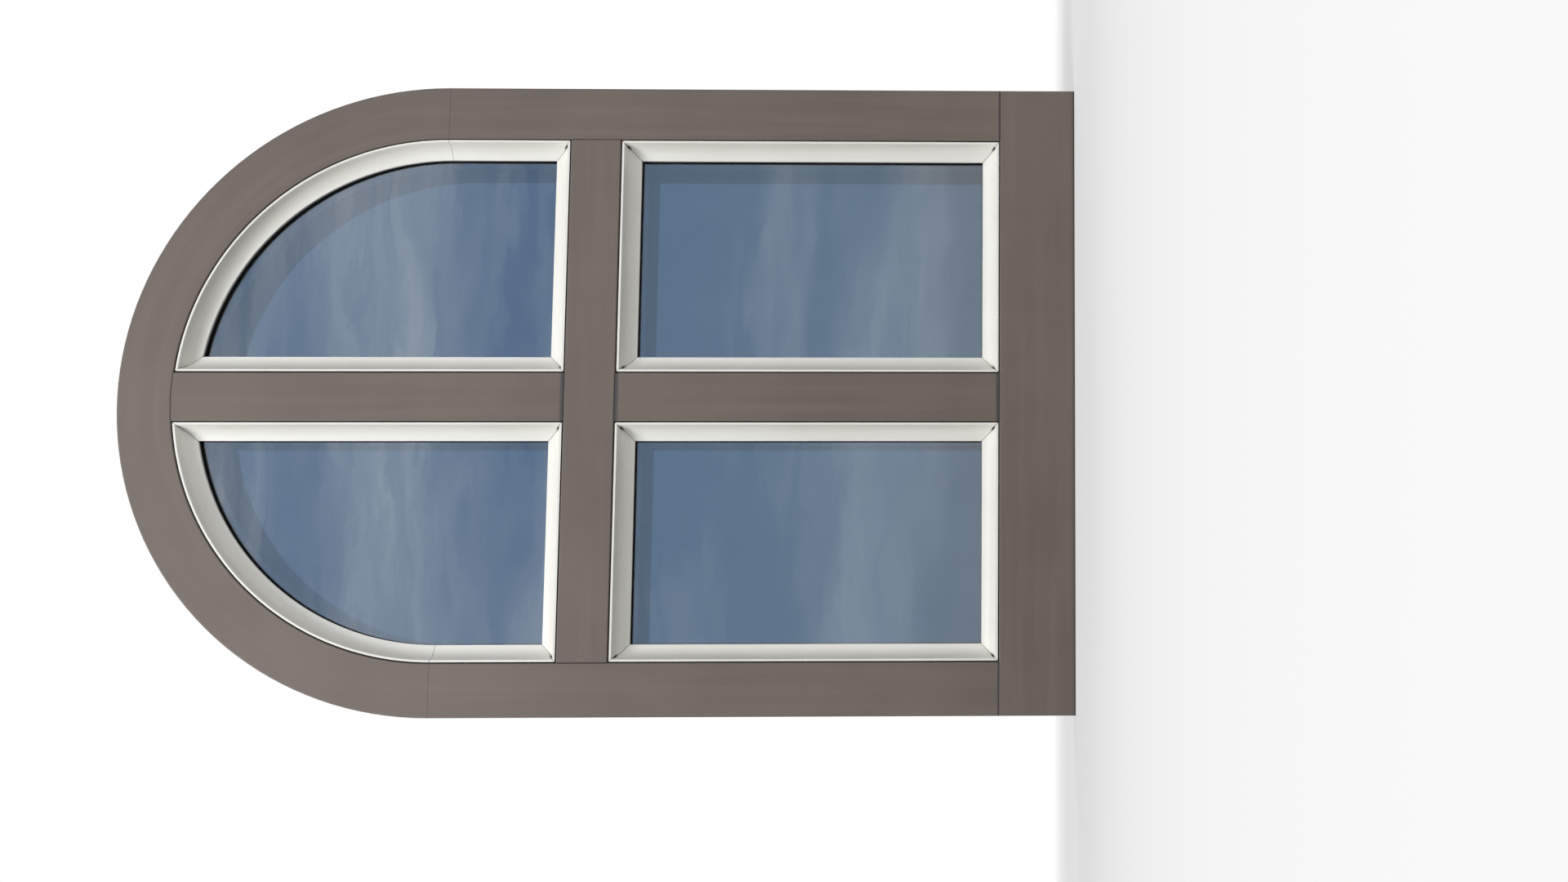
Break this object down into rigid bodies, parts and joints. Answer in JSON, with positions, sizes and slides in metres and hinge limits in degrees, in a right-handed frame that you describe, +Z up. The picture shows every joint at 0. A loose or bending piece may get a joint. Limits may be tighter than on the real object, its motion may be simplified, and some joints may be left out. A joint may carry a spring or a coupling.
{
  "type": "round-headed window",
  "caption": "Fixed painted timber window with a half-round head, a transom and mullion, sealed double-glazed lights and mitred outside glazing beads.",
  "frame": {"origin": "middle of the frame's underside, halfway through the frame's depth", "axes": "+X to the right as seen from outside, +Y inwards through the wall, +Z up"},
  "size_m": [0.5, 0.09, 0.75],
  "materials": {
    "frame_paint": "smooth satin paint, grey-brown",
    "bead_paint": "smooth satin paint, off-white",
    "pane_glass": "clear float glass",
    "spacer_metal": "matt mill finish",
    "unit_sealant": "cured black sealant",
    "tape": "dark closed-cell foam tape",
    "block_plastic": "moulded, blue",
    "dowel_wood": "plain beech",
    "pin_steel": "bright stainless wire"
  },
  "bodies": {
    "root": {"bead_pins": "pin_steel", "frame_arch": "frame_paint", "frame_bottom_rail": "frame_paint", "frame_jamb_left": "frame_paint", "frame_jamb_right": "frame_paint", "joint_dowels": "dowel_wood", "location_blocks": "block_plastic", "lower_left_edge_seal": "unit_sealant", "lower_left_inner_pane": "pane_glass", "lower_left_inner_tape": "tape", "lower_left_jamb_bead": "bead_paint", "lower_left_mullion_bead": "bead_paint", "lower_left_outer_pane": "pane_glass", "lower_left_outer_tape": "tape", "lower_left_rail_bead": "bead_paint", "lower_left_spacer_bar": "spacer_metal", "lower_left_transom_bead": "bead_paint", "lower_right_edge_seal": "unit_sealant", "lower_right_inner_pane": "pane_glass", "lower_right_inner_tape": "tape", "lower_right_jamb_bead": "bead_paint", "lower_right_mullion_bead": "bead_paint", "lower_right_outer_pane": "pane_glass", "lower_right_outer_tape": "tape", "lower_right_rail_bead": "bead_paint", "lower_right_spacer_bar": "spacer_metal", "lower_right_transom_bead": "bead_paint", "mullion_lower": "frame_paint", "mullion_upper": "frame_paint", "setting_blocks": "block_plastic", "transom": "frame_paint", "upper_left_arch_bead": "bead_paint", "upper_left_edge_seal": "unit_sealant", "upper_left_inner_pane": "pane_glass", "upper_left_inner_tape": "tape", "upper_left_jamb_bead": "bead_paint", "upper_left_mullion_bead": "bead_paint", "upper_left_outer_pane": "pane_glass", "upper_left_outer_tape": "tape", "upper_left_spacer_bar": "spacer_metal", "upper_left_transom_bead": "bead_paint", "upper_right_arch_bead": "bead_paint", "upper_right_edge_seal": "unit_sealant", "upper_right_inner_pane": "pane_glass", "upper_right_inner_tape": "tape", "upper_right_jamb_bead": "bead_paint", "upper_right_mullion_bead": "bead_paint", "upper_right_outer_pane": "pane_glass", "upper_right_outer_tape": "tape", "upper_right_spacer_bar": "spacer_metal", "upper_right_transom_bead": "bead_paint"}
  },
  "joints": []
}
